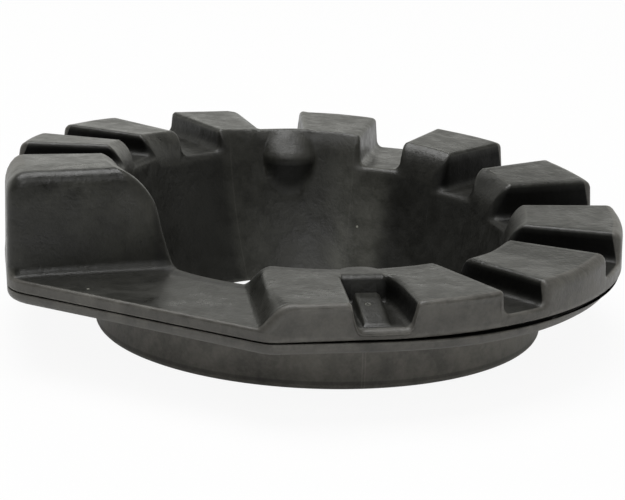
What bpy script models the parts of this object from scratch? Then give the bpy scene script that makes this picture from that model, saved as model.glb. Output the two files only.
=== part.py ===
"""Coil spring insulator: one moulded rubber ring, built by lofting radial sections.

Metres, +Z up. The ring stands on the underside of its hub. Angles run anticlockwise
from +X, seen from above, and count past 360 where the seat has come round once.
"""
import math
from dataclasses import dataclass, fields

import bmesh
import bpy
import numpy as np

NAME = "spring_insulator"
TURN = 360.0

# Hub and bore
HUB_RADIUS = 0.0570
HUB_HEIGHT = 0.0156
HUB_EDGE = 0.0015
HUB_FILLET = 0.0008
BORE_FOOT_RADIUS = 0.0380
BORE_TOP_RADIUS = 0.0506
BORE_BOWL_HEIGHT = 0.0458

# Outline of the rim, seen from above: an arc beside the bore's axis, and two corners
RIM_RADIUS = 0.0783
RIM_CENTRE = (-0.0016, 0.0010)
SIDE_CORNER_PROUD = 0.0072
SIDE_CORNER_ANGLE = 213.8
SIDE_CORNER_ROUND = 0.0120
FRONT_CORNER_PROUD = 0.0041
FRONT_CORNER_ANGLE = 263.7
FRONT_CORNER_ROUND = 0.0070

# Lip, parting line and open shelf; by angle, how far the lip stands out past its step and
# the outer wall's draft
LIP_THICKNESS = 0.0028
LIP_ROUND = 0.0021
LIP_STEP = 0.0003
LIP_SHIFTS = ((240.0, -0.0003), (262.0, 0.0), (280.0, 0.0003), (298.0, 0.0005), (312.0, -0.0003),
              (325.0, -0.0013), (340.0, -0.0020), (352.0, -0.0014), (372.0, -0.0001),
              (500.0, 0.0), (555.0, -0.0003))
SHELF_THICKNESS = 0.0030
WALL_DRAFTS = ((240.0, 0.0), (275.0, 0.026), (505.0, 0.026), (526.0, 0.115), (542.0, 0.115),
               (556.0, 0.0))

# Seat: level of the block tops by angle
SEAT_LEVELS = (
    (281.0, 0.0271),
    (324.0, 0.0276),
    (347.0, 0.0296),
    (367.0, 0.0304),
    (380.0, 0.0329),
    (396.0, 0.0343),
    (409.0, 0.0358),
    (447.0, 0.0385),
    (476.0, 0.0393),
    (507.0, 0.0411),
    (564.0, 0.0455),
)

# Grooves across the seat: centre angle, width in degrees, level of the floor
GROOVES = (
    (308.5, 10.0, 0.0216),
    (341.0, 12.5, 0.0223),
    (373.7, 12.5, 0.0238),
    (402.7, 13.0, 0.0262),
    (431.9, 13.7, 0.0295),
    (490.7, 14.5, 0.0340),
    (519.2, 11.5, 0.0363),
    (545.5, 14.0, 0.0385),
)
GROOVE_DRAFT = 0.09
GROOVE_FILLET = 0.0018
BLOCK_EDGE = 0.0010
BLOCK_CORNER = 0.0030

# Rounding of the top: length and depth towards the bore, reach and drop at the rim
FLOOR_FORM = (0.0012, 0.0012, 0.0008, 0.0008)
SHORT_FORM = (0.0050, 0.0080, 0.0024, 0.0024)
LONG_FORM = (0.0016, 0.0050, 0.0009, 0.0009)
TALL_FORM = (0.0060, 0.0080, 0.0040, 0.0060)
STOP_FORM = (0.0085, 0.0100, 0.0050, 0.0050)
POCKET_FORM = (0.0016, 0.0050, 0.0011, 0.0011)

# Ends of the seat: the first block's slanted end, pinched at its corners, and the tall stop
START_ANGLE = 278.0
START_SKEW = -0.0203
START_DRAFT = 0.55
START_FILLET = 0.0010
START_EDGE = 0.0013
START_PINCH = 0.0020
STOP_ANGLE = 559.8
STOP_SKEW = 0.0173
STOP_DRAFT = 0.08
STOP_FILLET = 0.0025
STOP_EDGE = 0.0045
STOP_CORNER = 0.0010

# Pockets in the two long blocks, open at the rim: spread is extra width at the rim, and
# gain is how much the open side's draft grows from the bore to the rim
POCKETS = (
    {"angle": 280.8, "depth": 0.0051, "spread": 0.0, "gain": 0.35, "plate": True},
    {"angle": 461.7, "depth": 0.0062, "spread": 0.0019, "gain": 1.15, "plate": False},
)
POCKET_BACK = 0.0556
POCKET_BACK_DRAFT = 0.10
POCKET_FILLET = 0.0009
STEEP_ALONG = 0.0050
STEEP_FLARE = 0.0021
STEEP_DRAFT = 0.10
OPEN_ALONG = 0.0072
OPEN_FLARE = 0.0001
OPEN_DRAFT = 0.15

# Raised plate on a pocket's floor: its sides' places at the bore and how far they turn
PLATE_SIDES = ((-0.0016, -0.0037), (0.0053, -0.0036))
PLATE_EDGE = 0.0005
PLATE_BACK_RISE = 0.0026
PLATE_RIM_RISE = 0.0008
PLATE_BACK_GAP = 0.0009
PLATE_RIM_GAP = 0.0012

# Bosses on the bore, behind the pockets
BOSS_ANGLES = (280.8, 461.0)
BOSS_HALF_WIDTH = 0.0068
BOSS_HALF_FLAT = 0.0030
BOSS_RIM_REACH = 0.0040
BOSS_REACH = 0.0060
BOSS_DROP = 0.0061
BOSS_LENGTH = 0.0160

PARTING_LEVEL = HUB_HEIGHT + LIP_THICKNESS
SHELF_LEVEL = PARTING_LEVEL + SHELF_THICKNESS
ARC_STEP = 6.0
NOSE_STEPS = 4
BORE_SHARES = (0.90, 0.70, 0.46, 0.22)
ROUND = 1.0 - math.sqrt(0.5)
RUBBER = (0.0125, 0.0120, 0.0120, 1.0)
RUBBER_ROUGHNESS = 0.55


def clear_scene():
    for obj in list(bpy.data.objects):
        bpy.data.objects.remove(obj, do_unlink=True)


def polar(radius, degrees):
    angle = math.radians(degrees)
    return np.array((radius * math.cos(angle), radius * math.sin(angle)))


def rounded_corner(before, corner, after, radius, steps=6):
    """Points of the arc that rounds the corner between two straight sides."""
    to_before = (before - corner) / np.linalg.norm(before - corner)
    to_after = (after - corner) / np.linalg.norm(after - corner)
    half = 0.5 * math.acos(float(np.dot(to_before, to_after)))
    middle = (to_before + to_after) / np.linalg.norm(to_before + to_after)
    centre = corner + middle * radius / math.sin(half)
    first = corner + to_before * radius / math.tan(half) - centre
    last = corner + to_after * radius / math.tan(half) - centre
    start = math.atan2(first[1], first[0])
    sweep = (math.atan2(last[1], last[0]) - start + math.pi) % (2.0 * math.pi) - math.pi
    return [centre + polar(radius, math.degrees(start + sweep * k / steps))
            for k in range(steps + 1)]


def straight(start, end, steps=24):
    """Points along a straight side, without its ends."""
    return [start + (end - start) * k / steps for k in range(1, steps)]


def rim_outline():
    """The rim's outline as angles about the bore's axis and distances from it."""
    centre = np.array(RIM_CENTRE)
    side_reach = RIM_RADIUS + SIDE_CORNER_PROUD
    front_reach = RIM_RADIUS + FRONT_CORNER_PROUD
    side = centre + polar(side_reach, SIDE_CORNER_ANGLE)
    front = centre + polar(front_reach, FRONT_CORNER_ANGLE)
    side_touch = SIDE_CORNER_ANGLE - math.degrees(math.acos(RIM_RADIUS / side_reach))
    front_touch = FRONT_CORNER_ANGLE + math.degrees(math.acos(RIM_RADIUS / front_reach))
    turns = np.linspace(front_touch, side_touch + TURN, 240)
    arc = [centre + polar(RIM_RADIUS, turn) for turn in turns]
    left = rounded_corner(arc[-1], side, front, SIDE_CORNER_ROUND)
    right = rounded_corner(side, front, arc[0], FRONT_CORNER_ROUND)
    points = arc + straight(arc[-1], left[0]) + left + straight(left[-1], right[0])
    points = np.array(points + right + straight(right[-1], arc[0]))
    angles = np.degrees(np.arctan2(points[:, 1], points[:, 0])) % TURN
    order = np.argsort(angles)
    return angles[order], np.hypot(points[order, 0], points[order, 1])


RIM_ANGLES, RIM_REACH = rim_outline()


def rim_radius(angle):
    return float(np.interp(angle % TURN, RIM_ANGLES, RIM_REACH, period=TURN))


def around(table, angle):
    """Value at an angle, from a table that goes once round the ring."""
    angles, values = zip(*table)
    return float(np.interp(angles[0] + (angle - angles[0]) % TURN, angles, values))


def bore_radius(level):
    """The bore widens like a bowl, less and less towards its top."""
    share = max(0.0, 1.0 - level / BORE_BOWL_HEIGHT)
    return BORE_TOP_RADIUS - (BORE_TOP_RADIUS - BORE_FOOT_RADIUS) * share ** 2


def seat_level(angle):
    return float(np.interp(angle, *zip(*SEAT_LEVELS)))


@dataclass
class Section:
    """One radial section: its place, its levels at the rim and at the bore, its form."""

    angle: float
    outer: float
    inner: float
    form: np.ndarray
    along: float = 0.0
    flare: float = 0.0
    pinch: float = 0.0
    skew: float = 0.0
    tuck: float = 0.0
    corner: float = BLOCK_CORNER
    plate: float = 0.0

    def direction(self, radius, level):
        """Angle of the section's point at this radius and level."""
        bore = bore_radius(level)
        share = min(1.0, max(0.0, (radius - bore) / (RIM_RADIUS - bore)))
        inward = min(max(self.corner - (radius - bore), 0.0), self.corner)
        shift = self.corner - math.sqrt(self.corner ** 2 - inward ** 2)
        shift *= self.tuck * min(1.0, level / self.inner)
        along = self.along + self.flare * share + self.pinch * abs(2.0 * share - 1.0) ** 3
        turn = (along + shift) / radius + math.asin(self.skew / radius)
        return self.angle + math.degrees(turn)

    def point(self, radius, level):
        x, y = polar(radius, self.direction(radius, level))
        return (x, y, level)

    def rim_point(self, inset, level):
        radius = RIM_RADIUS
        for _ in range(4):
            radius = rim_radius(self.direction(radius, level)) - inset
        return self.point(radius, level)


def mixed(a, b, share):
    """Section part of the way between two others."""
    values = {}
    for field in fields(Section):
        low = getattr(a, field.name)
        high = getattr(b, field.name)
        values[field.name] = low + (high - low) * share
    return Section(**values)


def fan(a, b, level=None):
    """Sections between two others, close enough together to keep the arcs round."""
    gap = b.direction(RIM_RADIUS, b.outer) - a.direction(RIM_RADIUS, a.outer)
    count = max(1, math.ceil(gap / ARC_STEP))
    sections = [mixed(a, b, k / count) for k in range(1, count)]
    for section in sections:
        if level is not None:
            height = level(section.direction(RIM_RADIUS, section.outer))
            section.outer = height
            section.inner = height
    return sections


def wall_steps(height, draft, fillet, edge):
    """Run and rise of an end wall, from the floor up to the top."""
    run = height * draft
    return (
        (-run - fillet, 0.0),
        (-run - ROUND * fillet, ROUND * fillet),
        (-run + draft * fillet, fillet),
        (-draft * edge, height - edge),
        (ROUND * edge, height - ROUND * edge),
        (edge, height),
    )


@dataclass
class BlockEnd:
    """End wall of a block: its top edge's place, the floor beside it and its form."""

    angle: float
    floor: float
    draft: float = GROOVE_DRAFT
    fillet: float = GROOVE_FILLET
    edge: float = BLOCK_EDGE
    skew: float = 0.0
    pinch: float = 0.0
    corner: float = BLOCK_CORNER

    def top_direction(self):
        return self.angle + math.degrees(math.asin(self.skew / RIM_RADIUS))

    def sections(self, form, side):
        """Sections up the wall; side is 1 where the block lies past it, else -1."""
        height = seat_level(self.top_direction()) - self.floor
        low, high = np.array(FLOOR_FORM), np.array(form)
        result = []
        for run, rise in wall_steps(height, self.draft, self.fillet, self.edge):
            share = rise / height
            level = self.floor + rise
            result.append(Section(self.angle, level, level, low + (high - low) * share,
                                  along=side * run, pinch=side * self.pinch * share ** 2,
                                  skew=self.skew, tuck=side, corner=self.corner))
        return result[::side]


def pocket_side(shape, side, along, flare, draft, gain):
    """Sections up one side of a pocket, whose bore side stays at the block's top."""
    top, depth = seat_level(shape["angle"]), shape["depth"]
    low, high = np.array(POCKET_FORM), np.array(LONG_FORM)
    result = []
    for run, rise in wall_steps(depth, draft, POCKET_FILLET, POCKET_FILLET):
        spread = flare + shape["spread"] - gain * (depth - rise)
        result.append(Section(shape["angle"], top - depth + rise, top,
                              low + (high - low) * rise / depth, along=side * (along + run),
                              flare=side * spread))
    return result[::side]


def plate_sides(floor):
    """Sections at the foot and the top of each side of the raised plate."""
    (left, left_flare), (right, right_flare) = PLATE_SIDES
    places = ((left, left_flare, 0.0), (left + PLATE_EDGE, left_flare, 1.0),
              (right - PLATE_EDGE, right_flare, 1.0), (right, right_flare, 0.0))
    return [Section(floor.angle, floor.outer, floor.inner, floor.form, along=along,
                    flare=flare, plate=plate) for along, flare, plate in places]


def pocket(shape):
    """Sections across a pocket: its steep side, its floor and its open side."""
    steep = pocket_side(shape, -1, STEEP_ALONG, STEEP_FLARE, STEEP_DRAFT, 0.0)
    slope = pocket_side(shape, 1, OPEN_ALONG, OPEN_FLARE, OPEN_DRAFT, shape["gain"])
    floor = mixed(steep[-1], slope[0], 0.5)
    return steep + (plate_sides(floor) if shape["plate"] else [floor]) + slope


def block(start, end, last):
    """Sections of one block from end wall to end wall, round a pocket if it has one."""
    pockets = [p for p in POCKETS if start.top_direction() < p["angle"] < end.angle]
    form = LONG_FORM if pockets else SHORT_FORM
    rising = start.sections(TALL_FORM if last else form, 1)
    falling = end.sections(STOP_FORM if last else form, -1)
    result = list(rising)
    for shape in pockets:
        middle = pocket(shape)
        result += fan(result[-1], middle[0], seat_level) + middle
    return result + fan(result[-1], falling[0], seat_level) + falling


def ring_sections():
    """Every section of the ring, from the seat's start round to the open shelf."""
    starts = [BlockEnd(START_ANGLE, SHELF_LEVEL, START_DRAFT, START_FILLET, START_EDGE,
                       START_SKEW, START_PINCH)]
    ends = []
    for centre, width, floor in GROOVES:
        ends.append(BlockEnd(centre - 0.5 * width, floor))
        starts.append(BlockEnd(centre + 0.5 * width, floor))
    ends.append(BlockEnd(STOP_ANGLE, SHELF_LEVEL, STOP_DRAFT, STOP_FILLET, STOP_EDGE,
                         STOP_SKEW, corner=STOP_CORNER))
    result = []
    for start, end in zip(starts, ends):
        sections = block(start, end, end is ends[-1])
        if result:
            result += fan(result[-1], sections[0])
        result += sections
    home = mixed(result[0], result[0], 0.0)
    home.angle += TURN
    return result + fan(result[-1], home)


def boss_reach(angle, radius, drop):
    """How far the boss behind a pocket stands in from the bore at this place."""
    gap = min(abs((angle - a + 180.0) % TURN - 180.0) for a in BOSS_ANGLES)
    across = math.radians(gap) * radius
    share = (BOSS_HALF_WIDTH - across) / (BOSS_HALF_WIDTH - BOSS_HALF_FLAT)
    share = min(1.0, max(0.0, share))
    reach = np.interp(drop, (0.0, BOSS_DROP, BOSS_LENGTH), (BOSS_RIM_REACH, BOSS_REACH, 0.0))
    return float(reach) * share * share * (3.0 - 2.0 * share)


def bore_point(section, radius, level):
    reach = boss_reach(section.direction(radius, level), radius, section.inner - level)
    return section.point(radius - reach, level)


def section_points(section):
    """Points round one section: underside, rim, seat and bore."""
    length, depth, reach, drop = section.form
    heading = section.direction(RIM_RADIUS, section.outer)
    top_edge = section.outer - drop
    lean = around(WALL_DRAFTS, heading) * max(0.0, top_edge - PARTING_LEVEL)
    nose_foot = section.inner - depth
    nose_radius = bore_radius(nose_foot)
    step = section.inner - section.outer
    rise = min(POCKET_FILLET, step)
    back = max(POCKET_BACK, nose_radius + length + 2.0 * POCKET_FILLET)
    back_foot = back + POCKET_BACK_DRAFT * step
    plate_back = back_foot + POCKET_FILLET + PLATE_BACK_GAP
    plate_rim = lean + reach + PLATE_RIM_GAP
    lip = LIP_STEP + around(LIP_SHIFTS, heading)
    points = [
        section.point(BORE_FOOT_RADIUS, 0.0),
        section.point(HUB_RADIUS - HUB_EDGE, 0.0),
        section.point(HUB_RADIUS - ROUND * HUB_EDGE, ROUND * HUB_EDGE),
        section.point(HUB_RADIUS, HUB_EDGE),
        section.point(HUB_RADIUS, HUB_HEIGHT - HUB_FILLET),
        section.point(HUB_RADIUS + HUB_FILLET, HUB_HEIGHT),
        section.rim_point(LIP_ROUND - lip, HUB_HEIGHT),
        section.rim_point(ROUND * LIP_ROUND - lip, HUB_HEIGHT + ROUND * LIP_ROUND),
        section.rim_point(-lip, HUB_HEIGHT + LIP_ROUND),
        section.rim_point(-lip, PARTING_LEVEL),
        section.rim_point(0.0, PARTING_LEVEL),
        section.rim_point(lean, top_edge),
        section.rim_point(lean + ROUND * reach, section.outer - ROUND * drop),
        section.rim_point(lean + reach, section.outer),
        section.rim_point(plate_rim, section.outer),
        section.rim_point(plate_rim + PLATE_EDGE, section.outer + section.plate * PLATE_RIM_RISE),
        section.point(plate_back + PLATE_EDGE, section.outer + section.plate * PLATE_BACK_RISE),
        section.point(plate_back, section.outer),
        section.point(back_foot + POCKET_FILLET, section.outer),
        section.point(back_foot, section.outer + rise),
        section.point(back - ROUND * POCKET_FILLET, section.inner - ROUND * rise),
        section.point(back - POCKET_FILLET, section.inner),
    ]
    for k in range(NOSE_STEPS, -1, -1):
        turn = 0.5 * math.pi * k / NOSE_STEPS
        radius = nose_radius + length * (1.0 - math.cos(turn))
        points.append(bore_point(section, radius, nose_foot + depth * math.sin(turn)))
    for share in BORE_SHARES:
        level = share * nose_foot
        points.append(bore_point(section, bore_radius(level), level))
    return points


def build_ring():
    """Loft the sections into one closed ring, centred on its footprint."""
    rows = [section_points(section) for section in ring_sections()]
    mesh = bpy.data.meshes.new(NAME)
    work = bmesh.new()
    grid = [[work.verts.new(p) for p in row] for row in rows]
    count = len(grid[0])
    for here, after in zip(grid, grid[1:] + grid[:1]):
        for k in range(count):
            up = (k + 1) % count
            work.faces.new((here[k], after[k], after[up], here[up]))
    bmesh.ops.triangulate(work, faces=work.faces[:])
    bmesh.ops.recalc_face_normals(work, faces=work.faces[:])
    places = np.array([vert.co[:] for vert in work.verts])
    middle = 0.5 * (places.min(axis=0) + places.max(axis=0))
    bmesh.ops.translate(work, verts=work.verts, vec=(-middle[0], -middle[1], 0.0))
    work.to_mesh(mesh)
    work.free()
    return mesh


def rubber():
    material = bpy.data.materials.new("black_rubber")
    material.use_nodes = True
    shader = material.node_tree.nodes["Principled BSDF"]
    shader.inputs["Base Color"].default_value = RUBBER
    shader.inputs["Roughness"].default_value = RUBBER_ROUGHNESS
    shader.inputs["Metallic"].default_value = 0.0
    return material


def main():
    clear_scene()
    collection = bpy.data.collections.new("coil_spring_insulator")
    bpy.context.scene.collection.children.link(collection)
    mesh = build_ring()
    mesh.materials.append(rubber())
    mesh.shade_smooth()
    mesh.set_sharp_from_angle(angle=math.radians(35.0))
    collection.objects.link(bpy.data.objects.new(NAME, mesh))


main()
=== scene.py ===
import math
from dataclasses import dataclass, fields

import bmesh
import bpy
import numpy as np
from mathutils import Matrix, Vector


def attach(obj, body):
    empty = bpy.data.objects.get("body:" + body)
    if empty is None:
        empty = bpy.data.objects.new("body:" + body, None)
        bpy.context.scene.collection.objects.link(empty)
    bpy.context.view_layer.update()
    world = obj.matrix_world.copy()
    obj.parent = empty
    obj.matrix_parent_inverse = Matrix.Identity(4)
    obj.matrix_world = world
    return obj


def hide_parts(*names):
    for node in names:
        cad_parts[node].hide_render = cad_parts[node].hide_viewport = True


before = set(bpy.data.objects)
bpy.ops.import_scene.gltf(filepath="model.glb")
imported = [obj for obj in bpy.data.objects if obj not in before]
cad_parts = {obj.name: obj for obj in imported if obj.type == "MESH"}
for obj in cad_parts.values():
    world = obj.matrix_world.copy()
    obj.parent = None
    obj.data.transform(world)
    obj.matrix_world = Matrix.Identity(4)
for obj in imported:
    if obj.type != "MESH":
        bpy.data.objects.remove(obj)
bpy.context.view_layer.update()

NODE = "spring_insulator"
TURN = 360.0

# The ring in millimetres, about the bore's axis. Angles run anticlockwise from +X.
AXIS = (1.652, 0.621)
HUB_RADIUS = 57.0
HUB_HEIGHT = 15.6
HUB_EDGE = 1.5
HUB_FILLET = 0.8
BORE_FOOT_RADIUS = 38.0
BORE_TOP_RADIUS = 50.6
BORE_BOWL_HEIGHT = 45.8
BORE_FOOT_EDGE = 0.3

# Outline of the rim: an arc beside the bore's axis, and two corners
RIM_RADIUS = 78.28
RIM_CENTRE = (-1.6, 1.0)
SIDE_CORNER_REACH = 85.5
SIDE_CORNER_ANGLE = 213.8
SIDE_CORNER_ROUND = 10.0
FRONT_CORNER_REACH = 82.4
FRONT_CORNER_ANGLE = 263.7
FRONT_CORNER_ROUND = 7.0

# Lip, parting gap, shelf and outer wall
LIP_THICKNESS = 2.8
LIP_ROUND = 2.0
LIP_STEP = 0.24
LIP_TOP_ROUND = 0.25
SHELF_THICKNESS = 3.0
WALL_DRAFTS = ((240.0, 0.0), (275.0, 0.026), (505.0, 0.026), (526.0, 0.115), (542.0, 0.115),
               (556.0, 0.0))
GAP_DEPTH = 1.6
GAP_MOUTH = 0.5
GAP_BELOW = 0.35
WALL_FOOT_ROUND = 0.25
GAP_HEIGHTS = ((200.0, 0.25), (262.0, 0.30), (284.0, 0.45), (305.0, 0.95), (340.0, 1.25),
               (372.0, 0.7), (420.0, 0.3), (560.0, 0.25))
LIP_SHIFTS = ((240.0, -0.3), (262.0, 0.0), (280.0, 0.35), (298.0, 0.5), (312.0, -0.3),
              (325.0, -1.3), (340.0, -2.0), (352.0, -1.4), (372.0, -0.1), (500.0, 0.0),
              (555.0, -0.3))

# Seat: level of the block tops by angle, and the grooves' centre, width and floor
SEAT_LEVELS = ((281.0, 27.1), (324.0, 27.6), (347.0, 29.6), (367.0, 30.4), (380.0, 32.9),
               (396.0, 34.3), (409.0, 35.8), (416.0, 36.4), (447.0, 38.5), (476.0, 39.3),
               (507.0, 41.1), (564.0, 45.5))
GROOVES = (
    (308.5, 10.0, 21.6),
    (341.0, 12.5, 22.3),
    (373.7, 12.5, 23.8),
    (402.7, 13.0, 26.2),
    (431.9, 13.7, 29.5),
    (490.7, 14.5, 34.0),
    (519.2, 11.5, 36.3),
    (545.5, 14.0, 38.5),
)
GROOVE_DRAFT = 0.09
GROOVE_FILLET = 1.8
BLOCK_EDGE = 1.0
BORE_CORNER = 3.2
LONG_CORNER = 1.9
RIM_CORNER = 1.6

# Rounding of the top: length and depth towards the bore, reach and drop at the rim, and
# how far the bead under the rim's edge stands out
FLOOR_FORM = (1.2, 1.2, 0.8, 0.8, 0.0)
SHORT_FORM = (5.0, 8.0, 2.4, 2.4, 0.0)
LONG_FORM = (2.6, 6.0, 0.9, 0.9, 0.4)
TALL_FORM = (6.0, 8.0, 4.0, 6.0, 0.0)
STOP_FORM = (8.5, 10.0, 5.0, 5.0, 0.0)
POCKET_FORM = (2.6, 6.0, 1.1, 1.1, 0.6)
NOSE_CHAMFER = 0.35
BEAD_HEIGHT = 1.2

# Ends of the seat
START_ANGLE = 278.0
START_SKEW = -20.3
START_DRAFT = 0.55
START_FILLET = 1.0
START_EDGE = 1.3
START_PINCH = 2.0
STOP_ANGLE = 559.8
STOP_SKEW = 16.6
STOP_DRAFT = 0.08
STOP_EDGE = 3.2
STOP_FILLET = 2.5
STOP_CORNER = 1.0
STOP_RIM_CORNER = 3.4
PINCH_POWER = 3

# Pockets and bosses
POCKETS = (
    {"angle": 280.8, "depth": 6.0, "spread": 0.0, "foot": (1.2, 0.8), "curve": 2,
     "plate": True},
    {"angle": 461.7, "depth": 6.2, "spread": 1.9, "foot": (0.0, 7.1), "curve": 1,
     "plate": False},
)
POCKET_BACK = 55.6
POCKET_BACK_DRAFT = 0.10
POCKET_BACK_ROUND = 2.6
POCKET_BACK_DROP = 1.4
POCKET_RIDGE = 0.4
POCKET_TURN = 7.0
POCKET_BEND = 0.36
POCKET_FILLET = 0.9
POCKET_FOOT = 1.0
STEEP_ALONG = 5.0
STEEP_FLARE = 2.1
STEEP_DRAFT = 0.10
OPEN_ALONG = 7.2
OPEN_FLARE = 1.0
OPEN_DRAFT = 0.15
PLATE_SIDES = ((-2.8, -1.3), (5.2, -2.6))
PLATE_SIDE_WIDTHS = (0.6, 1.9)
PLATE_EDGE = 1.2
PLATE_BACK_RISE = 3.2
PLATE_RIM_RISE = 0.6
PLATE_BACK_GAP = 0.9
PLATE_RIM_GAP = 0.9
PLATE_REACH = 75.0
PLATE_ROUND = ((0.0, 0.0), (0.2, 0.35), (0.55, 0.82), (1.0, 1.0))
BOSSES = (
    {"angle": 280.8, "reaches": (2.3, 4.2, 6.0, 2.9, 0.0), "halves": (4.4, 6.4, 7.5, 6.5, 3.0)},
    {"angle": 461.0, "reaches": (0.0, 2.4, 6.0, 2.9, 0.0), "halves": (2.4, 6.0, 7.5, 6.5, 3.0)},
)
BOSS_DROPS = (0.0, 3.2, 6.8, 11.5, 18.0)
BOSS_DOME = 0.7
# Painted shade under a boss's break, and how softly it fades in
BOSS_SHADE = 0.8
BOSS_SHADE_FADE = 2.0

PARTING_LEVEL = HUB_HEIGHT + LIP_THICKNESS
SHELF_LEVEL = PARTING_LEVEL + SHELF_THICKNESS

# How finely the ring is drawn: the gap between sections in degrees, the points of the rim's
# outline and of each stretch of a section, and the rounds that find a point on the rim
ARC_STEP = 1.1
RIM_POINTS = 480
CORNER_STEPS = 12
SIDE_STEPS = 40
LIP_STEPS = 7
FILLET_STEPS = 3
RIM_GAP_SHARES = (0.33, 0.67, 1.0)
BACK_STEPS = 4
CREST_STEPS = 5
ROUND_STEPS = 5
NOSE_STEPS = 10
BORE_STEPS = 24
WALL_STEPS = 5
BEAD_STEPS = 5
SIDE_WALL_STEPS = 3
END_WALL_STEPS = 4
PLATE_SHARES = (0.75, 0.5, 0.25)
ACROSS_PLATE = 5
ACROSS_POCKET = 6
RIM_ROUNDS = 4
LEAST_WALL = 0.1
MM = 0.001

# Painted shade, deep black in grooves and pockets: by height below the tops, by height
# above the floor and by place round the ring. Where the outer wall's painted light is left
# off near the stop, how much of it the nose has, and the size of the roundings that count as
# edges
PAINTED_SHADE_DEPTH = 1.6
FLOOR_SHARE = 0.2
FLOOR_FADE = 1.5
PAINTED_SHADE_BY_ANGLE = ((250.0, 0.0), (270.0, 0.0), (274.0, 1.0), (421.0, 1.0), (425.0, 0.0), (442.0, 0.0),
            (485.0, 0.6), (495.0, 1.0), (562.0, 1.0), (566.0, 0.0), (609.0, 0.0))
STOP_BARE = (562.0, 568.0)
NOSE_PAINTED_LIGHT = 0.18
EDGE_SIZE = 1.0

# Zones and marks of the surface: angles in degrees, places and heights in millimetres
BORE_FADE = (52.5, 50.5)
HUB_FADE = (16.0, 15.0)
FACE_FADE = (22.0, 32.0)
UPWARD = (0.5, 0.9)
SIDEWAYS = (0.6, 0.2)
# Painted light in the bore: a lighter middle band and a brighter sheen band, by angle
MIDDLE_ZONE = (84.0, 120.6)
MIDDLE_SOFT = 5.0
SHEEN_ZONE = (73.0, 80.0)
SHEEN_SOFT = 10.0
BORE_SEAMS = (80.0, 120.6)
SEAM_SOFT = 0.4
HUB_SCRATCHES = (-79.1, -78.4)
SCRATCH_SOFT = 0.22
HUB_LINE = (1.5, 2.0)
HUB_LINE_SOFT = 0.4
HUB_LINE_DARK = 0.35
# A moulded dimple on the pocket's plate: painted shade in its hollow, a painted highlight on its
# rim
DIMPLE = (11.2, -64.0, 23.4)
DIMPLE_RADIUS = 0.9
DIMPLE_PAINTED_SHADE = 0.9
SPECKS = (((-53.0, -52.8, 21.5), 0.45), ((10.2, 43.3, 13.7), 0.4))
SPOT_CORE = 0.6
# Outside edges lighter in patches: partly wear, partly a painted highlight
WORN_AND_HIGHLIT_EDGE = (0.15, 0.7)
WORN_AND_HIGHLIT_PATCHES = (0.1, 0.9, 0.3, 1.0)

# Noise of the rubber: scale, detail and roughness, and the range that is spread out
NOISES = {
    "clouds": (60.0, 5.0, 0.65),
    "patches": (210.0, 4.0, 0.65),
    "grain": (1300.0, 3.0, 0.6),
    "streaks": (1.0, 3.0, 0.6),
    "blotches": (38.0, 5.0, 0.6),
    "dust": (2300.0, 2.0, 0.5),
}
SPREADS = {"clouds": (0.3, 0.7), "patches": (0.33, 0.67), "blotches": (0.42, 0.66),
           "dust": (0.74, 0.80)}
STREAK_ACROSS = 2200.0
STREAK_ALONG = 16.0

# Linear grey of the rubber in its zones, with painted light and shade among them: the lighter
# grey outside and the still lighter hub are painted light bounced up from the floor, and the
# deep black of recesses is painted shade. What the marks add, and how the noise varies it
GREY = {"top": 0.021, "painted_light": 0.083, "hub": 0.185, "bore": 0.012, "painted_shade": 0.003}
# The bore's middle and sheen bands add painted light
BORE_GREY = {"middle": 0.018, "sheen": 0.046}
MARK_GREY = {"worn_and_highlit": 0.022, "blotches": 0.042, "seams": 0.012, "scratches": 0.07,
             "dust": 0.05, "specks": 0.25}
DIMPLE_PAINTED_HIGHLIGHT = 0.10
MOTTLE_BASE = 0.35
MOTTLE = {"clouds": 0.42, "patches": 0.38, "grain": 0.50, "streaks": 0.36}
# Warm tint of the painted light outside
PAINTED_LIGHT_GREEN = 0.955
BLUE = 0.85

# Gloss and relief of the rubber
ROUGH_BASE = 0.20
ROUGH = {"clouds": 0.07, "patches": 0.12, "grain": 0.10, "painted_light": 0.08, "bore": 0.08,
         "painted_shade": 0.22}
SPECULAR = 0.42
# Less specular in the painted shade of recesses
PAINTED_SHADE_SPECULAR = 0.12
RELIEF = {"grain": 0.45, "streaks": 0.15, "patches": 0.5, "clouds": 1.5, "dimple": -2.0}
RELIEF_DEPTH = 0.00009

# Camera solved from the photograph: elevation, roll, distance, focal length in pixels
VIEW_ELEVATION = math.radians(17.05)
VIEW_ROLL = math.radians(1.88)
VIEW_DISTANCE = 517.4
VIEW_FOCAL = 2000.0
VIEW_YAW = math.radians(-0.21)
VIEW_PITCH = math.radians(-1.95)
PHOTO_WIDTH = 625.0
SENSOR_WIDTH = 36.0
CLIP_START = 0.01

# Studio: the world's light from low front to back and above, and the lamps in metres
WORLD_LEAN = (0.15, 0.85, 0.45)
WORLD_TURN = (-0.45, 0.55)
WORLD_DARK = 0.06
WORLD_BLUE = 0.94
WORLD_SWEEP = (0.27, 0.47, 1.0, 0.24)
WORLD_LIGHT = 0.75
FLOOR_SIZE = 6.0
FLOOR_DROP = 0.0002
FLOOR_COLOUR = 0.92
FLOOR_ROUGHNESS = 0.9
FLOOR_WHITE = 0.92
FLOOR_GLOSS = 0.25
LAMP_TARGET = (0.0, 0.0, 0.03)
LAMPS = (
    ("overhead", (-0.2, 0.3, 1.5), (1.2, 1.2), 20.0),
    ("front", (0.15, -1.0, 1.05), (0.9, 0.9), 5.5),
)


def polar(radius, degrees):
    angle = math.radians(degrees)
    return np.array((radius * math.cos(angle), radius * math.sin(angle)))


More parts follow.
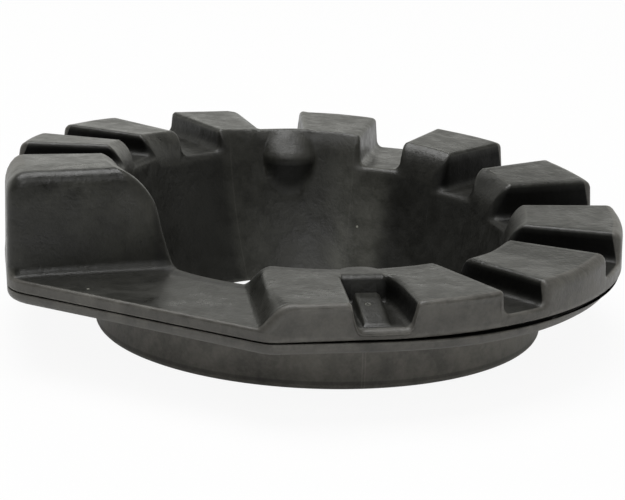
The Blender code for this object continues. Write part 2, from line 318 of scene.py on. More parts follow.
def rounded_corner(before, corner, after, radius, steps=CORNER_STEPS):
    """Points of the arc that rounds the corner between two straight sides."""
    to_before = (before - corner) / np.linalg.norm(before - corner)
    to_after = (after - corner) / np.linalg.norm(after - corner)
    half = 0.5 * math.acos(float(np.dot(to_before, to_after)))
    middle = (to_before + to_after) / np.linalg.norm(to_before + to_after)
    centre = corner + middle * radius / math.sin(half)
    first = corner + to_before * radius / math.tan(half) - centre
    last = corner + to_after * radius / math.tan(half) - centre
    start = math.atan2(first[1], first[0])
    sweep = (math.atan2(last[1], last[0]) - start + math.pi) % (2.0 * math.pi) - math.pi
    return [centre + polar(radius, math.degrees(start + sweep * k / steps))
            for k in range(steps + 1)]


def straight(start, end, steps=SIDE_STEPS):
    return [start + (end - start) * k / steps for k in range(1, steps)]


def rim_outline():
    """The rim's outline as angles about the bore's axis and distances from it."""
    centre = np.array(RIM_CENTRE)
    side = centre + polar(SIDE_CORNER_REACH, SIDE_CORNER_ANGLE)
    front = centre + polar(FRONT_CORNER_REACH, FRONT_CORNER_ANGLE)
    side_touch = SIDE_CORNER_ANGLE - math.degrees(math.acos(RIM_RADIUS / SIDE_CORNER_REACH))
    front_touch = FRONT_CORNER_ANGLE + math.degrees(math.acos(RIM_RADIUS / FRONT_CORNER_REACH))
    turns = np.linspace(front_touch, side_touch + TURN, RIM_POINTS)
    arc = [centre + polar(RIM_RADIUS, turn) for turn in turns]
    left = rounded_corner(arc[-1], side, front, SIDE_CORNER_ROUND)
    right = rounded_corner(side, front, arc[0], FRONT_CORNER_ROUND)
    points = arc + straight(arc[-1], left[0]) + left + straight(left[-1], right[0])
    points = np.array(points + right + straight(right[-1], arc[0]))
    angles = np.degrees(np.arctan2(points[:, 1], points[:, 0])) % TURN
    order = np.argsort(angles)
    return angles[order], np.hypot(points[order, 0], points[order, 1])


RIM_ANGLES, RIM_REACH = rim_outline()


def smooth(share):
    share = min(1.0, max(0.0, share))
    return share * share * (3.0 - 2.0 * share)


def rim_radius(angle):
    return float(np.interp(angle % TURN, RIM_ANGLES, RIM_REACH, period=TURN))


def around(table, angle):
    """Value at an angle, from a table that goes once round the ring."""
    angles, values = zip(*table)
    return float(np.interp(angles[0] + (angle - angles[0]) % TURN, angles, values))


def bore_radius(level):
    """The bore widens like a bowl, less and less towards its top."""
    share = max(0.0, 1.0 - level / BORE_BOWL_HEIGHT)
    return BORE_TOP_RADIUS - (BORE_TOP_RADIUS - BORE_FOOT_RADIUS) * share ** 2


def seat_level(angle):
    return float(np.interp(angle, *zip(*SEAT_LEVELS)))


@dataclass
class Section:
    """One radial section: its angle, its levels at the rim and the bore, and its form.

    Along and flare shift it along the ring, flare more so towards the rim. Skew and pinch turn
    and curve it in plan, tuck and bend round it at its inner and outer ends and at a pocket's
    back. Plate says how far a pocket's raised plate stands up in it, and floor is the level of
    the groove's or pocket's floor beside it.
    """
    angle: float
    outer: float
    inner: float
    form: np.ndarray
    along: float = 0.0
    flare: float = 0.0
    pinch: float = 0.0
    skew: float = 0.0
    tuck: float = 0.0
    corner: float = BORE_CORNER
    rim_corner: float = RIM_CORNER
    bend: float = 0.0
    plate: float = 0.0
    floor: float = 0.0

    @property
    def heading(self):
        return self.direction(RIM_RADIUS, self.outer)

    @property
    def lip_top(self):
        return PARTING_LEVEL - GAP_BELOW * around(GAP_HEIGHTS, self.heading)

    @property
    def wall_foot(self):
        gap = around(GAP_HEIGHTS, self.heading)
        return PARTING_LEVEL + (1.0 - GAP_BELOW) * gap + WALL_FOOT_ROUND

    @property
    def top_edge(self):
        return self.outer - self.form[3]

    @property
    def lean(self):
        return around(WALL_DRAFTS, self.heading) * max(0.0, self.top_edge - PARTING_LEVEL)

    @property
    def nose_foot(self):
        return self.inner - self.form[1]

    @property
    def nose_radius(self):
        return bore_radius(self.nose_foot)

    def painted_shade(self, level):
        """How much painted shade a level gets between the blocks beside it, less so at the
        floor.
        """
        drop = smooth((seat_level(self.heading) - level) / PAINTED_SHADE_DEPTH)
        floor = self.floor + self.plate * PLATE_BACK_RISE
        wall = FLOOR_SHARE + (1.0 - FLOOR_SHARE) * smooth((level - floor) / FLOOR_FADE)
        return drop * wall * around(PAINTED_SHADE_BY_ANGLE, self.heading)

    def direction(self, radius, level, inset=None):
        """Angle of the section's point at this radius, level and inset from the rim."""
        bore = bore_radius(level)
        share = min(1.0, max(0.0, (radius - bore) / (RIM_RADIUS - bore)))
        inward = min(max(self.corner - (radius - bore), 0.0), self.corner)
        shift = self.corner - math.sqrt(self.corner ** 2 - inward ** 2)
        if inset is not None:
            outward = min(max(self.rim_corner - inset, 0.0), self.rim_corner)
            shift += self.rim_corner - math.sqrt(self.rim_corner ** 2 - outward ** 2)
        shift *= self.tuck * smooth(level / max(self.outer, 1.0))
        inward = min(max(1.0 - (radius - POCKET_BACK) / POCKET_TURN, 0.0), 1.0)
        bend = self.bend * POCKET_BEND * (1.0 - math.sqrt(1.0 - inward ** 2))
        along = self.along * (1.0 - bend) + self.flare * share
        along += self.pinch * abs(2.0 * share - 1.0) ** PINCH_POWER
        turn = (along + shift) / radius + math.asin(self.skew / radius)
        return self.angle + math.degrees(turn)

    def point(self, radius, level, inset=None):
        x, y = polar(radius, self.direction(radius, level, inset))
        return (x, y, level)

    def rim_point(self, inset, level, corner=None):
        """Point at an inset from the rim's outline."""
        radius = RIM_RADIUS
        corner = inset if corner is None else corner
        for _ in range(RIM_ROUNDS):
            radius = rim_radius(self.direction(radius, level, corner)) - inset
        return self.point(radius, level, corner)


def mixed(a, b, share):
    """Section part of the way between two others."""
    values = {}
    for field in fields(Section):
        low, high = getattr(a, field.name), getattr(b, field.name)
        values[field.name] = low + (high - low) * share
    return Section(**values)


def fan(a, b, level=None):
    """Sections between two others, at the seat's level where that is given."""
    gap = b.direction(RIM_RADIUS, b.outer) - a.direction(RIM_RADIUS, a.outer)
    count = max(1, math.ceil(gap / ARC_STEP))
    sections = [mixed(a, b, k / count) for k in range(1, count)]
    for section in sections:
        if level is not None:
            height = level(section.direction(RIM_RADIUS, section.outer))
            section.outer = height
            section.inner = height
    return sections


def quarter(steps):
    """Sine and one minus cosine of the turns of a quarter round."""
    return [(math.sin(0.5 * math.pi * k / steps), 1.0 - math.cos(0.5 * math.pi * k / steps))
            for k in range(steps + 1)]


def wall_steps(height, draft, fillet, edge, steps=ROUND_STEPS, walls=END_WALL_STEPS):
    """Run and rise of an end wall, from the floor up to the top."""
    run = height * draft
    foot = [(-run - fillet + fillet * s, fillet * c) for s, c in quarter(steps)]
    foot = [(x + draft * z * (z / fillet), z) for x, z in foot]
    low, high = fillet, height - edge
    middle = [(-run + draft * (low + (high - low) * k / walls), low + (high - low) * k / walls)
              for k in range(1, walls)]
    head = [(edge * c - draft * edge * (1.0 - s), height - edge + edge * s)
            for s, c in quarter(steps)]
    return foot + middle + head


@dataclass
class BlockEnd:
    """End wall of a block: its top edge's place, the floor beside it and its form."""
    angle: float
    floor: float
    draft: float = GROOVE_DRAFT
    fillet: float = GROOVE_FILLET
    edge: float = BLOCK_EDGE
    skew: float = 0.0
    pinch: float = 0.0
    corner: float = BORE_CORNER
    rim_corner: float = RIM_CORNER

    def top_direction(self):
        return self.angle + math.degrees(math.asin(self.skew / RIM_RADIUS))

    def sections(self, form, side):
        """Sections up the wall; side is 1 where the block lies past it, else -1."""
        corner = LONG_CORNER if form == LONG_FORM else self.corner
        height = seat_level(self.top_direction()) - self.floor
        floor_form = np.array(FLOOR_FORM)
        result = []
        for run, rise in wall_steps(height, self.draft, self.fillet, self.edge):
            share = rise / height
            here = floor_form + (np.array(form) - floor_form) * share
            level = self.floor + rise
            result.append(Section(self.angle, level, level, here, along=side * run,
                                  pinch=side * self.pinch * share ** 2, skew=self.skew,
                                  tuck=side, corner=corner, rim_corner=self.rim_corner,
                                  floor=self.floor))
        return result[::side]


def pocket_side(shape, side, along, flare, draft):
    """Sections up one side of a pocket, whose foot curves inwards towards the rim."""
    angle, depth = shape["angle"], shape["depth"]
    foot = shape["foot"][max(side, 0)]
    top = seat_level(angle)
    top_form, low_form = np.array(LONG_FORM), np.array(POCKET_FORM)
    result = []
    for run, rise in wall_steps(depth, draft, POCKET_FOOT, POCKET_FILLET, BACK_STEPS,
                                SIDE_WALL_STEPS):
        share = rise / depth
        form = low_form + (top_form - low_form) * share
        reach = flare + shape["spread"] - foot * (1.0 - share) ** shape["curve"]
        result.append(Section(angle, top - depth + rise, top, form, along=side * (along + run),
                              flare=side * reach, bend=max(side, 0) * shape["plate"],
                              floor=top - depth))
    return result[::side]


def pocket(shape):
    """Sections across a pocket: steep side, floor with its raised plate, open side."""
    steep = pocket_side(shape, -1, STEEP_ALONG, STEEP_FLARE, STEEP_DRAFT)
    slope = pocket_side(shape, 1, OPEN_ALONG, OPEN_FLARE, OPEN_DRAFT)
    floor = mixed(steep[-1], slope[0], 0.5)
    if not shape["plate"]:
        return steep + [mixed(steep[-1], slope[0], k / ACROSS_POCKET)
                        for k in range(1, ACROSS_POCKET)] + slope
    sides = []
    for out, width, (along, flare) in zip((1, -1), PLATE_SIDE_WIDTHS, PLATE_SIDES):
        for step, rise in PLATE_ROUND[::out]:
            sides.append(Section(shape["angle"], floor.outer, floor.inner, floor.form,
                                 along=along + out * width * step, flare=flare,
                                 bend=max(-out, 0), plate=rise, floor=floor.outer))
    half = len(sides) // 2
    across = [mixed(sides[half - 1], sides[half], k / ACROSS_PLATE)
              for k in range(1, ACROSS_PLATE)]
    return steep + sides[:half] + across + sides[half:] + slope


def block(start, end, last):
    """Sections of one block from end wall to end wall, round a pocket if it has one."""
    pockets = [p for p in POCKETS if start.top_direction() < p["angle"] < end.angle]
    form = LONG_FORM if pockets else SHORT_FORM
    rising = start.sections(TALL_FORM if last else form, 1)
    falling = end.sections(STOP_FORM if last else form, -1)
    result = list(rising)
    for shape in pockets:
        middle = pocket(shape)
        result += fan(result[-1], middle[0], seat_level) + middle
    return result + fan(result[-1], falling[0], seat_level) + falling


def ring_sections():
    """All sections: block after block, with the grooves between, and back to the first."""
    starts = [BlockEnd(START_ANGLE, SHELF_LEVEL, START_DRAFT, START_FILLET, START_EDGE,
                       START_SKEW, START_PINCH)]
    ends = []
    for centre, width, floor in GROOVES:
        ends.append(BlockEnd(centre - 0.5 * width, floor))
        starts.append(BlockEnd(centre + 0.5 * width, floor))
    ends.append(BlockEnd(STOP_ANGLE, SHELF_LEVEL, STOP_DRAFT, STOP_FILLET, STOP_EDGE,
                         STOP_SKEW, corner=STOP_CORNER, rim_corner=STOP_RIM_CORNER))
    result = []
    for start, end in zip(starts, ends):
        sections = block(start, end, end is ends[-1])
        if result:
            result += fan(result[-1], sections[0])
        result += sections
    home = mixed(result[0], result[0], 0.0)
    home.angle += TURN
    return result + fan(result[-1], home)


def boss_reach(angle, radius, drop):
    """An egg-shaped boss with its break where it stands out most and is widest."""
    gaps = [abs((angle - boss["angle"] + 180.0) % TURN - 180.0) for boss in BOSSES]
    gap = min(gaps)
    boss = BOSSES[gaps.index(gap)]
    reach = float(np.interp(drop, BOSS_DROPS, boss["reaches"]))
    half = float(np.interp(drop, BOSS_DROPS, boss["halves"]))
    across = math.radians(gap) * radius / half
    return reach * max(0.0, 1.0 - across * across) ** BOSS_DOME


def bore_point(section, radius, level):
    reach = boss_reach(section.direction(radius, level), radius, section.inner - level)
    return section.point(radius - reach, level)


def boss_shade(section, point):
    """How far a point lies under a boss's break, given as painted shade there."""
    drop = section.inner - point[2]
    radius = math.hypot(point[0], point[1])
    reach = boss_reach(section.direction(radius, point[2]), radius, drop)
    below = smooth((drop - BOSS_DROPS[2]) / BOSS_SHADE_FADE)
    return BOSS_SHADE * below * smooth(reach / BOSS_SHADE_FADE)


def underside(section):
    """From the bore's foot over the hub's foot to the flange."""
    points = [section.point(BORE_FOOT_RADIUS + BORE_FOOT_EDGE, 0.0),
              section.point(0.5 * (BORE_FOOT_RADIUS + HUB_RADIUS), 0.0)]
    for s, c in quarter(ROUND_STEPS):
        points.append(section.point(HUB_RADIUS - HUB_EDGE * (1.0 - s), HUB_EDGE * c))
    for s, c in quarter(FILLET_STEPS):
        points.append(section.point(HUB_RADIUS + HUB_FILLET * c,
                                    HUB_HEIGHT - HUB_FILLET * (1.0 - s)))
    points.append(section.point(0.5 * (HUB_RADIUS + RIM_RADIUS), HUB_HEIGHT))
    return points


def lip(section):
    """The lower lip."""
    out = LIP_STEP + around(LIP_SHIFTS, section.heading)
    top = section.lip_top
    points = []
    for s, c in quarter(LIP_STEPS):
        points.append(section.rim_point(LIP_ROUND * (1.0 - s) - out, HUB_HEIGHT + LIP_ROUND * c,
                                        0.0))
    for s, c in quarter(FILLET_STEPS):
        points.append(section.rim_point(LIP_TOP_ROUND * c - out,
                                        top - LIP_TOP_ROUND * (1.0 - s), 0.0))
    return points


def parting_gap(section):
    """The gap between the lip and the outer wall."""
    foot = section.wall_foot - WALL_FOOT_ROUND
    return [section.rim_point(GAP_MOUTH, section.lip_top, 0.0),
            section.rim_point(GAP_DEPTH, section.lip_top, 0.0),
            section.rim_point(GAP_DEPTH, foot, 0.0),
            section.rim_point(GAP_MOUTH, foot, 0.0)]


def outer_wall(section):
    """The outer wall, with a bead below its top edge, and the rounding of that edge."""
    reach, drop, bead = section.form[2:]
    foot, top, lean = section.wall_foot, section.top_edge, section.lean
    points = [section.rim_point(WALL_FOOT_ROUND, foot - WALL_FOOT_ROUND, 0.0),
              section.rim_point(0.0, foot, 0.0)]
    bead_foot = max(0.5 * (foot + top), top - BEAD_HEIGHT)
    levels = list(np.linspace(foot, bead_foot, WALL_STEPS + 1)[1:])
    levels += list(np.linspace(bead_foot, top, BEAD_STEPS + 1)[1:-1])
    for level in levels:
        share = (level - foot) / max(LEAST_WALL, top - foot)
        rise = smooth((level - bead_foot) / max(LEAST_WALL, top - bead_foot))
        points.append(section.rim_point(lean * share - bead * rise, level, 0.0))
    for s, c in quarter(ROUND_STEPS + 1):
        points.append(section.rim_point(lean - bead + (reach + bead) * c, top + drop * s,
                                        reach * c))
    return points


def seat(section):
    """From the rim's edge over the block's top, or a pocket's floor and back, to the bore."""
    inset = section.lean + section.form[2]
    points = []
    for share in RIM_GAP_SHARES:
        extra = share * PLATE_RIM_GAP
        points.append(section.rim_point(inset + extra, section.outer, section.form[2] + extra))
    for step_in, share in PLATE_ROUND[1:]:
        points.append(section.rim_point(inset + PLATE_RIM_GAP + PLATE_EDGE * step_in,
                                        section.outer + share * section.plate * PLATE_RIM_RISE))
    step = section.inner - section.outer
    ridge = section.nose_radius + section.form[0] + POCKET_RIDGE
    back = max(POCKET_BACK, ridge + POCKET_BACK_ROUND)
    fillet_foot = back + POCKET_BACK_DRAFT * step + POCKET_FILLET
    plate_back = fillet_foot + PLATE_BACK_GAP
    plate_top = plate_back + PLATE_EDGE
    for share in PLATE_SHARES:
        height = PLATE_BACK_RISE + (PLATE_RIM_RISE - PLATE_BACK_RISE) * share
        points.append(section.point(plate_top + (PLATE_REACH - plate_top) * share,
                                    section.outer + section.plate * height))
    for step_in, share in PLATE_ROUND[::-1]:
        points.append(section.point(plate_back + PLATE_EDGE * step_in,
                                    section.outer + share * section.plate * PLATE_BACK_RISE))
    rise = min(POCKET_FILLET, 0.5 * step)
    for s, c in quarter(BACK_STEPS):
        points.append(section.point(fillet_foot - POCKET_FILLET * s, section.outer + rise * c))
    rise = min(POCKET_BACK_DROP, 0.5 * step)
    for s, c in quarter(CREST_STEPS)[1:]:
        points.append(section.point(back - POCKET_BACK_ROUND * c,
                                    section.inner - rise * (1.0 - s)))
    middle = 0.5 * (back - POCKET_BACK_ROUND + section.nose_radius + section.form[0])
    points.append(section.point(middle, section.inner))
    return points


def nose(section):
    """The rounding from the top into the bore."""
    length, depth = section.form[:2]
    points = []
    for k in range(NOSE_STEPS, -1, -1):
        flat = k / NOSE_STEPS
        turn = 0.5 * math.pi * flat
        run = NOSE_CHAMFER * flat + (1.0 - NOSE_CHAMFER) * (1.0 - math.cos(turn))
        rise = NOSE_CHAMFER * flat + (1.0 - NOSE_CHAMFER) * math.sin(turn)
        points.append(bore_point(section, section.nose_radius + length * run,
                                 section.nose_foot + depth * rise))
    return points


def bore_wall(section):
    levels = [section.nose_foot * (1.0 - k / BORE_STEPS) for k in range(1, BORE_STEPS)]
    points = [bore_point(section, bore_radius(level), level) for level in levels]
    return points + [section.point(bore_radius(BORE_FOOT_EDGE), BORE_FOOT_EDGE)]


def section_rows(section):
    """Points round one section, with the painted light and the painted shade that each point
    has.
    """
    foot, edge, gap = underside(section), lip(section), parting_gap(section)
    wall, top, round_in, inside = (outer_wall(section), seat(section), nose(section),
                                   bore_wall(section))
    # Painted light: underside and lip, the outer wall except above the shelf at the stop, a
    # little of the nose
    bare = 1.0 - smooth((STOP_BARE[1] - section.heading) / (STOP_BARE[1] - STOP_BARE[0]))
    painted_lights = [1.0] * (len(foot) + len(edge)) + [0.0] * len(gap)
    painted_lights += [1.0 - bare * smooth((point[2] - SHELF_LEVEL) / STOP_FILLET) for point in wall]
    painted_lights += [0.0] * len(top) + [NOSE_PAINTED_LIGHT] * len(round_in) + [0.0] * len(inside)
    # Painted shade: the parting gap all black, grooves and pockets by level, the bore under the
    # bosses
    painted_shades = [0.0] * (len(foot) + len(edge)) + [1.0] * len(gap) + [0.0] * len(wall)
    painted_shades += [section.painted_shade(point[2]) for point in top]
    low = section.painted_shade(section.inner)
    painted_shades += [max(low * (1.0 - k / NOSE_STEPS), boss_shade(section, point))
                 for k, point in enumerate(round_in)]
    painted_shades += [boss_shade(section, point) for point in inside]
    return foot + edge + gap + wall + top + round_in + inside, painted_lights, painted_shades


def convexity(work):
    """Share of an outside edge at each vertex, negative in an inside corner."""
    work.normal_update()
    values = []
    for vert in work.verts:
        bends = [vert.normal.dot(vert.co - edge.other_vert(vert).co) / edge.calc_length() ** 2
                 for edge in vert.link_edges]
        values.append(max(-1.0, min(1.0, max(bends, key=abs) * EDGE_SIZE * MM)))
    return values


def build_ring():
    """Loft the sections into one closed ring."""
    rows = [section_rows(section) for section in ring_sections()]
    mesh = bpy.data.meshes.new("ring")
    work = bmesh.new()
    shift = np.array((AXIS[0], AXIS[1], 0.0))
    grid = [[work.verts.new((np.array(p) + shift) * MM) for p in points]
            for points, _, _ in rows]
    count = len(grid[0])
    for here, after in zip(grid, grid[1:] + grid[:1]):
        for k in range(count):
            up = (k + 1) % count
            face = work.faces.new((here[k], after[k], after[up], here[up]))
            face.smooth = True
    bmesh.ops.recalc_face_normals(work, faces=work.faces[:])
    # Masks of painted light and painted shade at each point, and of its outside edges
    tones = {"painted_light": sum((painted_lights for _, painted_lights, _ in rows), []),
             "painted_shade": sum((painted_shades for _, _, painted_shades in rows), []),
             "edge": convexity(work)}
    work.to_mesh(mesh)
    work.free()
    for name, values in tones.items():
        mesh.attributes.new(name, "FLOAT", "POINT").data.foreach_set("value", values)
    ring = bpy.data.objects.new("ring", mesh)
    bpy.context.scene.collection.objects.link(ring)
    return ring


class Shade:
    """Short calls for the nodes of one material or world."""

    def __init__(self, tree):
        self.tree = tree

    def node(self, kind, inputs=(), **settings):
        node = self.tree.nodes.new("ShaderNode" + kind)
        for name, value in settings.items():
            setattr(node, name, value)
        for name, value in dict(inputs).items():
            self.put(node.inputs[name], value)
        return node

    def put(self, socket, value):
        if isinstance(value, bpy.types.NodeSocket):
            self.tree.links.new(value, socket)
        else:
            socket.default_value = value

    def math(self, operation, *values):
        return self.node("Math", enumerate(values), operation=operation).outputs[0]

    def less(self, value, mask, share=1.0):
        """A value lowered by a share where the mask is one."""
        return self.times(value, self.math("SUBTRACT", 1.0, self.times(mask, share)))

    def add(self, *values):
        total = values[0]
        for value in values[1:]:
            total = self.math("ADD", total, value)
        return total

    def times(self, a, b):
        return self.math("MULTIPLY", a, b)

    def step(self, value, low, high, start=0.0, end=1.0):
        """Smooth step of a value from one range to another."""
        inputs = {"Value": value, "From Min": low, "From Max": high, "To Min": start,
                  "To Max": end}
        return self.node("MapRange", inputs, interpolation_type="SMOOTHSTEP").outputs["Result"]

    def mix(self, factor, low, high):
        return self.node("Mix", {0: factor, 2: low, 3: high}, data_type="FLOAT").outputs[0]

    def weighted(self, start, masks, weights):
        """A start value and the masks, each times its weight."""
        return self.add(start, *(self.times(masks[name], weight)
                                 for name, weight in weights.items()))

    def noise(self, name, vector):
        """One of the rubber's noise patterns, spread out where that is stated."""
        scale, detail, roughness = NOISES[name]
        inputs = {"Vector": vector, "Scale": scale, "Detail": detail, "Roughness": roughness}
        value = self.node("TexNoise", inputs).outputs[0]
        return self.step(value, *SPREADS[name]) if name in SPREADS else value

    def band(self, value, low, high, soft):
        """One between two values, falling off softly outside them."""
        return self.times(self.step(value, low - soft, low), self.step(value, high + soft, high))

    def lines(self, value, places, soft):
        """One on each of several thin lines."""
        return self.add(*(self.band(value, place, place, soft) for place in places))

    def spot(self, place, centre, size):
        """One inside a small ball about a point given in millimetres about the bore's axis."""
        middle = (np.array(centre) + np.array((AXIS[0], AXIS[1], 0.0))) * MM
        gap = self.node("VectorMath", {0: place, 1: tuple(middle)}, operation="DISTANCE")
        return self.step(gap.outputs["Value"], size * MM, SPOT_CORE * size * MM)

    def attribute(self, name):
        return self.node("Attribute", attribute_name=name).outputs["Fac"]


def polar_place(shade):
    """The surface's place, and its radius, angle in radians and height about the axis."""
    place = shade.node("TexCoord").outputs["Object"]
    split = shade.node("SeparateXYZ", {0: place})
    x = shade.math("SUBTRACT", split.outputs[0], AXIS[0] * MM)
    y = shade.math("SUBTRACT", split.outputs[1], AXIS[1] * MM)
    radius = shade.math("SQRT", shade.add(shade.times(x, x), shade.times(y, y)))
    angle = shade.math("ARCTAN2", y, x)
    return place, radius, angle, split.outputs[2]


def patterns(shade, place, polar_parts, upward):
    """Noise over the surface, with streaks round the ring where it faces upwards."""
    radius, angle, height = polar_parts
    turned = shade.node("CombineXYZ", {0: shade.times(radius, STREAK_ACROSS),
                                       1: shade.times(angle, STREAK_ALONG),
                                       2: shade.times(height, STREAK_ACROSS)}).outputs[0]
    streaks = shade.math("SUBTRACT", shade.noise("streaks", turned), 0.5)
    result = {name: shade.noise(name, place) for name in NOISES if name != "streaks"}
    result["streaks"] = shade.times(streaks, upward)
    return result


def zones(shade, radius, turn, height):
    """Painted light, painted shade in grooves, and the bore with its stripes of painted light.
    """
    result = {name: shade.attribute(name) for name in ("painted_light", "painted_shade")}
    in_bore = shade.step(radius, BORE_FADE[0] * MM, BORE_FADE[1] * MM)
    result["bore"] = shade.times(in_bore, shade.step(result["painted_light"], 0.5, 0.0))
    result["middle"] = shade.band(turn, *MIDDLE_ZONE, MIDDLE_SOFT)
    result["sheen"] = shade.band(turn, *SHEEN_ZONE, SHEEN_SOFT)
    low = shade.step(height, HUB_FADE[0] * MM, HUB_FADE[1] * MM)
    result["hub"] = shade.times(result["painted_light"], low)
    return result


def marks(shade, place, turn, noise, zone, face):
    """Masks of the worn and highlit edges, blotches, seams, scratches, dust and specks."""
    for name in ("painted_light", "painted_shade", "bore"):
        face = shade.less(face, zone[name])
    patchy = shade.step(noise["patches"], *WORN_AND_HIGHLIT_PATCHES)
    seams = shade.lines(turn, BORE_SEAMS, SEAM_SOFT)
    scratches = shade.lines(turn, HUB_SCRATCHES, SCRATCH_SOFT)
    return {
        # Lighter outside edges: partly wear, partly a painted highlight
        "worn_and_highlit": shade.times(shade.step(shade.attribute("edge"), *WORN_AND_HIGHLIT_EDGE), patchy),
        "blotches": shade.times(face, noise["blotches"]),
        "seams": shade.times(seams, zone["bore"]),
        "scratches": shade.times(scratches, zone["hub"]),
        "dust": noise["dust"],
        "specks": shade.add(*(shade.spot(place, centre, size) for centre, size in SPECKS)),
    }


def rubber():
    """Black moulded rubber: painted light outside, painted shade in grooves, worn and highlit
    edges, mottling.
    """
    material = bpy.data.materials.new("moulded_rubber")
    material.use_nodes = True
    shade = Shade(material.node_tree)
    shader = material.node_tree.nodes["Principled BSDF"]
    place, radius, angle, height = polar_place(shade)
    turn = shade.times(angle, math.degrees(1.0))
    normal = shade.node("SeparateXYZ", {0: shade.node("NewGeometry").outputs["Normal"]})
    facing = normal.outputs[2]
    noise = patterns(shade, place, (radius, angle, height), shade.step(facing, *UPWARD))
    zone = zones(shade, radius, turn, height)
    face = shade.times(shade.step(facing, *SIDEWAYS),
                       shade.step(height, FACE_FADE[0] * MM, FACE_FADE[1] * MM))

    # Painted light: lighter grey outside, lighter still on the hub, for light bounced up from
    # the white floor
    level = shade.mix(zone["painted_light"], GREY["top"], GREY["painted_light"])
    level = shade.mix(zone["hub"], level, GREY["hub"])
    # The bore: darker grey, with its middle and sheen bands of painted light
    level = shade.mix(zone["bore"], level, shade.weighted(GREY["bore"], zone, BORE_GREY))
    level = shade.times(level, shade.weighted(MOTTLE_BASE, noise, MOTTLE))
    mark = marks(shade, place, turn, noise, zone, face)
    # Painted shade: deep black in grooves, pockets, the parting gap and under the bosses
    level = shade.mix(zone["painted_shade"], shade.weighted(level, mark, MARK_GREY), GREY["painted_shade"])
    # Dimple: painted shade in the hollow, painted highlight on the ring round it
    painted_dimple_shade = shade.spot(place, DIMPLE, 0.5 * DIMPLE_RADIUS)
    ring = shade.math("SUBTRACT", shade.spot(place, DIMPLE, DIMPLE_RADIUS), painted_dimple_shade)
    level = shade.add(shade.less(level, painted_dimple_shade, DIMPLE_PAINTED_SHADE), shade.times(ring, DIMPLE_PAINTED_HIGHLIGHT))
    foot_line = shade.band(height, HUB_LINE[0] * MM, HUB_LINE[1] * MM, HUB_LINE_SOFT * MM)
    level = shade.less(level, shade.times(zone["hub"], foot_line), HUB_LINE_DARK)
    # Warm tint where the painted light lies
    green = shade.times(level, shade.mix(zone["painted_light"], 1.0, PAINTED_LIGHT_GREEN))
    colour = shade.node("CombineColor", {0: level, 1: green, 2: shade.times(level, BLUE)})
    shade.put(shader.inputs["Base Color"], colour.outputs[0])

    masks = {**noise, **zone, "dimple": ring}
    shade.put(shader.inputs["Roughness"], shade.weighted(ROUGH_BASE, masks, ROUGH))
    # Less specular where the painted shade lies, which darkens the recesses further
    gloss = shade.mix(zone["painted_shade"], SPECULAR, PAINTED_SHADE_SPECULAR)
    shade.put(shader.inputs["Specular IOR Level"], gloss)
    relief = shade.weighted(0.0, masks, RELIEF)
    bump = shade.node("Bump", {"Height": relief, "Strength": 1.0, "Distance": RELIEF_DEPTH})
    shade.put(shader.inputs["Normal"], bump.outputs[0])
    return material


def camera():
    """Camera at the photograph's viewing angle."""
    pitch = VIEW_ELEVATION + VIEW_PITCH
    forward = Vector((math.sin(VIEW_YAW) * math.cos(pitch), math.cos(VIEW_YAW) * math.cos(pitch),
                      -math.sin(pitch)))
    right = Vector((math.cos(VIEW_YAW), -math.sin(VIEW_YAW), 0.0))
    up = right.cross(forward)
    across = math.cos(VIEW_ROLL) * right + math.sin(VIEW_ROLL) * up
    upward = -math.sin(VIEW_ROLL) * right + math.cos(VIEW_ROLL) * up
    place = Vector((AXIS[0], AXIS[1] - VIEW_DISTANCE * math.cos(VIEW_ELEVATION),
                    VIEW_DISTANCE * math.sin(VIEW_ELEVATION))) * MM
    data = bpy.data.cameras.new("camera")
    data.sensor_width = SENSOR_WIDTH
    data.lens = VIEW_FOCAL / PHOTO_WIDTH * SENSOR_WIDTH
    data.clip_start = CLIP_START
    view = bpy.data.objects.new("camera", data)
    turned = Matrix((across, upward, -forward)).transposed().to_4x4()
    view.matrix_world = Matrix.Translation(place) @ turned
    bpy.context.scene.collection.objects.link(view)
    bpy.context.scene.camera = view


def area_light(name, place, target, size, power):
    data = bpy.data.lights.new(name, "AREA")
    data.shape = "RECTANGLE"
    data.size, data.size_y = size
    data.energy = power
    lamp = bpy.data.objects.new(name, data)
    direction = Vector(target) - Vector(place)
    lamp.matrix_world = (Matrix.Translation(place)
                         @ direction.to_track_quat("-Z", "Y").to_matrix().to_4x4())
    bpy.context.scene.collection.objects.link(lamp)


def seen_white(shade):
    """One for the rays that show the background: camera, glossy and transmission rays."""
    path = shade.node("LightPath").outputs
    shown = shade.math("MAXIMUM", path["Is Camera Ray"], path["Is Glossy Ray"])
    return path["Is Camera Ray"], shade.math("MAXIMUM", shown, path["Is Transmission Ray"])


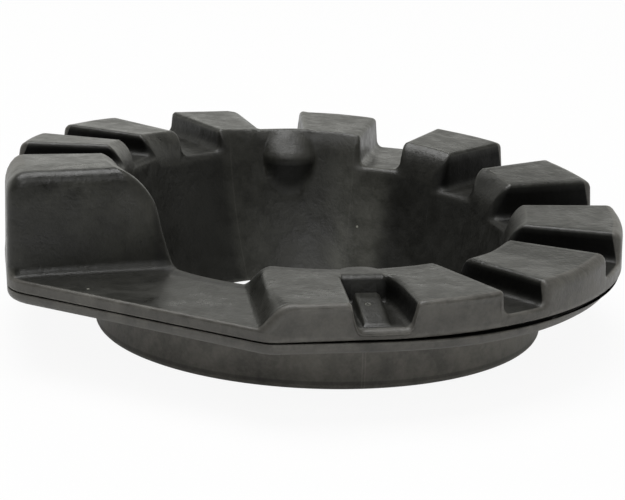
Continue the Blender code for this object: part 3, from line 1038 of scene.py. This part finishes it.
def light_room():
    """Open light above and behind, the dark side of a room in front, white for the camera."""
    world = bpy.data.worlds.new("studio")
    bpy.context.scene.world = world
    world.use_nodes = True
    shade = Shade(world.node_tree)
    split = shade.node("SeparateXYZ", {0: shade.node("TexCoord").outputs["Generated"]})
    toward = shade.add(*(shade.times(split.outputs[k], WORLD_LEAN[k]) for k in range(3)))
    open_side = shade.step(toward, *WORLD_TURN)
    camera_ray, shown = seen_white(shade)
    high = shade.step(split.outputs[2], *WORLD_SWEEP)
    soft = shade.times(high, shade.mix(open_side, WORLD_DARK, WORLD_LIGHT))
    bright = shade.times(high, shade.mix(open_side, WORLD_DARK, 1.0))
    strength = shade.mix(camera_ray, shade.mix(shown, soft, bright), 1.0)
    blue = shade.mix(camera_ray, WORLD_BLUE, 1.0)
    colour = shade.node("CombineColor", {0: 1.0, 1: 1.0, 2: blue}).outputs[0]
    background = world.node_tree.nodes["Background"]
    shade.put(background.inputs["Color"], colour)
    shade.put(background.inputs["Strength"], strength)


def white_floor():
    """A pale floor that keeps the object's shadow and is white to the camera."""
    bpy.ops.mesh.primitive_plane_add(size=FLOOR_SIZE, location=(0.0, 0.0, -FLOOR_DROP))
    floor = bpy.context.object
    floor.name = "floor"
    material = bpy.data.materials.new("white_floor")
    material.use_nodes = True
    shade = Shade(material.node_tree)
    shader = material.node_tree.nodes["Principled BSDF"]
    shade.put(shader.inputs["Base Color"], (FLOOR_COLOUR, FLOOR_COLOUR, FLOOR_COLOUR, 1.0))
    shade.put(shader.inputs["Roughness"], FLOOR_ROUGHNESS)
    glow = shade.node("Emission", {"Color": (1.0, 1.0, 1.0, 1.0), "Strength": 1.0})
    camera_ray, shown = seen_white(shade)
    share = shade.mix(camera_ray, shade.times(shown, FLOOR_GLOSS), FLOOR_WHITE)
    both = shade.node("MixShader", {0: share, 1: shader.outputs[0], 2: glow.outputs[0]})
    shade.put(material.node_tree.nodes["Material Output"].inputs["Surface"], both.outputs[0])
    floor.data.materials.append(material)
    return floor


def studio():
    """The room's light, the floor and the lamps."""
    light_room()
    floor = white_floor()
    for name, place, size, power in LAMPS:
        area_light(name, place, LAMP_TARGET, size, power)


ring = build_ring()
ring.data.materials.append(rubber())
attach(ring, "root")
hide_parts(NODE)
studio()
camera()
bpy.context.scene.view_settings.view_transform = "Standard"

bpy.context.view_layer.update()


print(len(ring.data.polygons), "faces in the ring")
